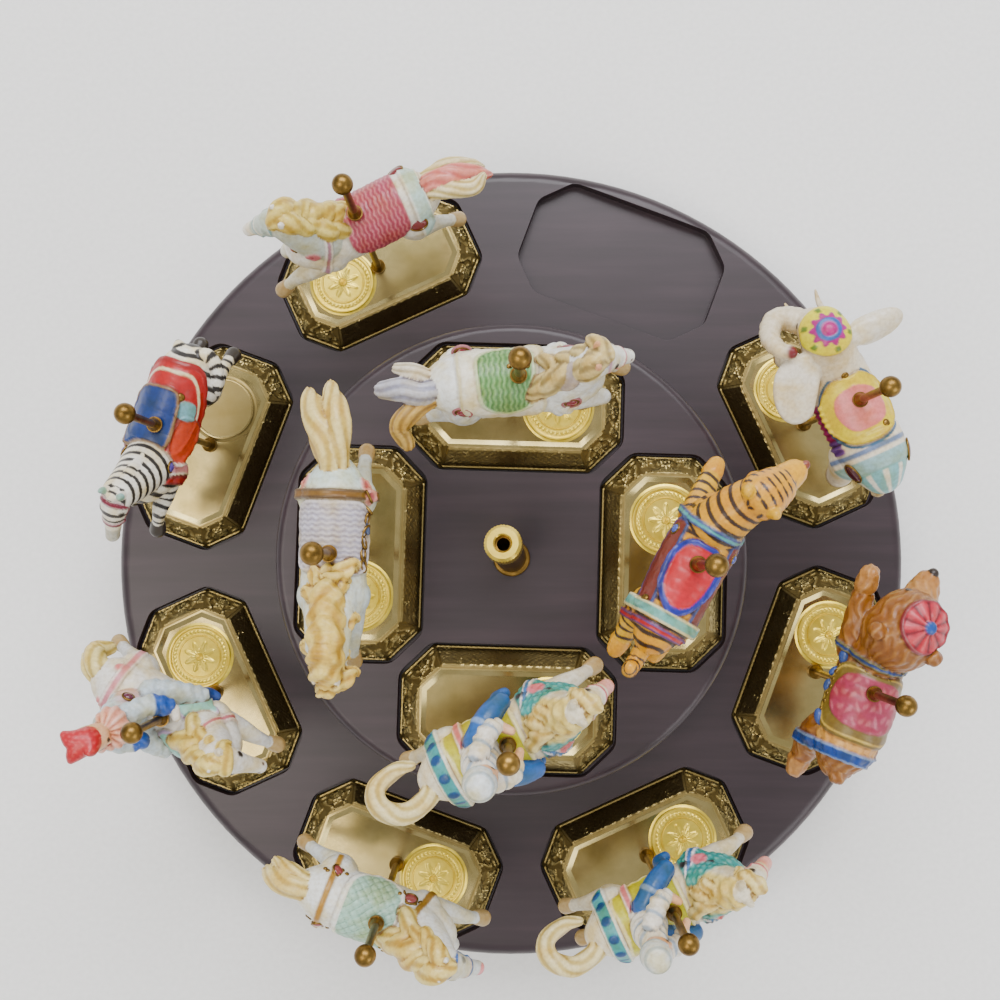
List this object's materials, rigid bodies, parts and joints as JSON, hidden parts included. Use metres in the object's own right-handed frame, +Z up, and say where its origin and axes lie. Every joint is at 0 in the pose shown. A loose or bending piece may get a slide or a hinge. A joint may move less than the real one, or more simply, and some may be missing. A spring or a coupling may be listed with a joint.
{
  "type": "wind-up carousel music box",
  "caption": "Round two-tier wooden wind-up music box with porcelain carousel animals on brass poles, each standing in a pocket on an engraved brass base.",
  "frame": {"origin": "on the table under the middle of the base", "axes": "+Z up along the turning tier's axis; +Y towards the far side of the base, +X to the right"},
  "size_m": [0.356, 0.356, 0.2073],
  "materials": {
    "dark_wood": "semi-gloss dark stain",
    "rubber": "matte",
    "steel": "bright",
    "blued_steel": "blued",
    "nylon": "matte",
    "cast_plate": "as cast",
    "brass": "machined",
    "aged_brass": "antique, rubbed",
    "polished_brass": "polished",
    "plinth_brass": "engraved, antique, polished top",
    "elephant_glaze": "hand-painted satin glaze",
    "pink_horse_glaze": "hand-painted satin glaze",
    "zebra_glaze": "hand-painted satin glaze",
    "fan_horse_glaze": "hand-painted satin glaze",
    "mint_horse_glaze": "hand-painted satin glaze",
    "outer_rider_glaze": "hand-painted satin glaze",
    "bear_glaze": "hand-painted satin glaze",
    "tiger_glaze": "hand-painted satin glaze",
    "green_horse_glaze": "hand-painted satin glaze",
    "lilac_horse_glaze": "hand-painted satin glaze",
    "inner_rider_glaze": "hand-painted satin glaze"
  },
  "bodies": {
    "base": {"base_body": "dark_wood", "feet": "rubber", "bottom_cover": "dark_wood", "cover_screws": "steel", "movement_case": "dark_wood", "spindle_bush": "brass", "thrust_washer": "nylon", "bedplate": "cast_plate", "movement_posts": "brass", "movement_screws": "steel", "cylinder_brackets": "brass", "comb": "steel", "comb_screws": "blued_steel", "governor_bracket": "brass"},
    "tier": {"turning_tier": "dark_wood", "centre_post": "aged_brass", "drive_spindle": "steel", "spring_barrel": "brass", "barrel_cover": "brass", "mainspring": "steel"},
    "thumb_nut": {"thumb_nut": "polished_brass"},
    "key": {"winding_key": "brass", "winding_arbor": "steel"},
    "cylinder": {"pinned_cylinder": "polished_brass", "cylinder_arbor": "steel"},
    "governor": {"governor_fan": "steel"},
    "elephant": {"elephant_base": "plinth_brass", "elephant_pole": "aged_brass", "elephant": "elephant_glaze"},
    "pink_horse": {"pink_horse_base": "plinth_brass", "pink_horse_pole": "aged_brass", "pink_horse": "pink_horse_glaze"},
    "zebra": {"zebra_base": "plinth_brass", "zebra_pole": "aged_brass", "zebra": "zebra_glaze"},
    "fan_horse": {"fan_horse_base": "plinth_brass", "fan_horse_pole": "aged_brass", "fan_horse": "fan_horse_glaze"},
    "mint_horse": {"mint_horse_base": "plinth_brass", "mint_horse_pole": "aged_brass", "mint_horse": "mint_horse_glaze"},
    "outer_rider": {"outer_rider_base": "plinth_brass", "outer_rider_pole": "aged_brass", "outer_rider": "outer_rider_glaze"},
    "bear": {"bear_base": "plinth_brass", "bear_pole": "aged_brass", "bear": "bear_glaze"},
    "tiger": {"tiger_base": "plinth_brass", "tiger_pole": "aged_brass", "tiger": "tiger_glaze"},
    "green_horse": {"green_horse_base": "plinth_brass", "green_horse_pole": "aged_brass", "green_horse": "green_horse_glaze"},
    "lilac_horse": {"lilac_horse_base": "plinth_brass", "lilac_horse_pole": "aged_brass", "lilac_horse": "lilac_horse_glaze"},
    "inner_rider": {"inner_rider_base": "plinth_brass", "inner_rider_pole": "aged_brass", "inner_rider": "inner_rider_glaze"}
  },
  "joints": [
    {"name": "tier_spin", "type": "hinge", "parent": "base", "child": "tier", "pos_m": [0, 0, 0.076], "axis": [0, 0, 1], "continuous": true},
    {"name": "nut_turn", "type": "hinge", "parent": "tier", "child": "thumb_nut", "pos_m": [-0.00309, 0.00495, 0.10746], "axis": [-0.0966, 0.1545, 0.9833], "continuous": true},
    {"name": "key_wind", "type": "hinge", "parent": "base", "child": "key", "pos_m": [0, 0, 0.015], "axis": [0, 0, 1], "continuous": true},
    {"name": "cylinder_turn", "type": "hinge", "parent": "base", "child": "cylinder", "pos_m": [0, 0.05, 0.04753], "axis": [0, 1, 0], "continuous": true},
    {"name": "governor_turn", "type": "hinge", "parent": "base", "child": "governor", "pos_m": [0.01187, 0.07, 0.04753], "axis": [0, 1, 0], "continuous": true},
    {"name": "elephant_lift", "type": "slide", "parent": "base", "child": "elephant", "axis": [0, 0, 1], "range_m": [0, 0.06]},
    {"name": "pink_horse_lift", "type": "slide", "parent": "base", "child": "pink_horse", "axis": [0, 0, 1], "range_m": [0, 0.06]},
    {"name": "zebra_lift", "type": "slide", "parent": "base", "child": "zebra", "axis": [0, 0, 1], "range_m": [0, 0.06]},
    {"name": "fan_horse_lift", "type": "slide", "parent": "base", "child": "fan_horse", "axis": [0, 0, 1], "range_m": [0, 0.06]},
    {"name": "mint_horse_lift", "type": "slide", "parent": "base", "child": "mint_horse", "axis": [0, 0, 1], "range_m": [0, 0.06]},
    {"name": "outer_rider_lift", "type": "slide", "parent": "base", "child": "outer_rider", "axis": [0, 0, 1], "range_m": [0, 0.06]},
    {"name": "bear_lift", "type": "slide", "parent": "base", "child": "bear", "axis": [0, 0, 1], "range_m": [0, 0.06]},
    {"name": "tiger_lift", "type": "slide", "parent": "tier", "child": "tiger", "axis": [0, 0, 1], "range_m": [0, 0.06]},
    {"name": "green_horse_lift", "type": "slide", "parent": "tier", "child": "green_horse", "axis": [0, 0, 1], "range_m": [0, 0.06]},
    {"name": "lilac_horse_lift", "type": "slide", "parent": "tier", "child": "lilac_horse", "axis": [0, 0, 1], "range_m": [0, 0.06]},
    {"name": "inner_rider_lift", "type": "slide", "parent": "tier", "child": "inner_rider", "axis": [0, 0, 1], "range_m": [0, 0.06]}
  ],
  "couplings": [
    {"joint": "cylinder_turn", "follows": "tier_spin", "ratio": 3.4286},
    {"joint": "governor_turn", "follows": "tier_spin", "ratio": -10.286}
  ]
}
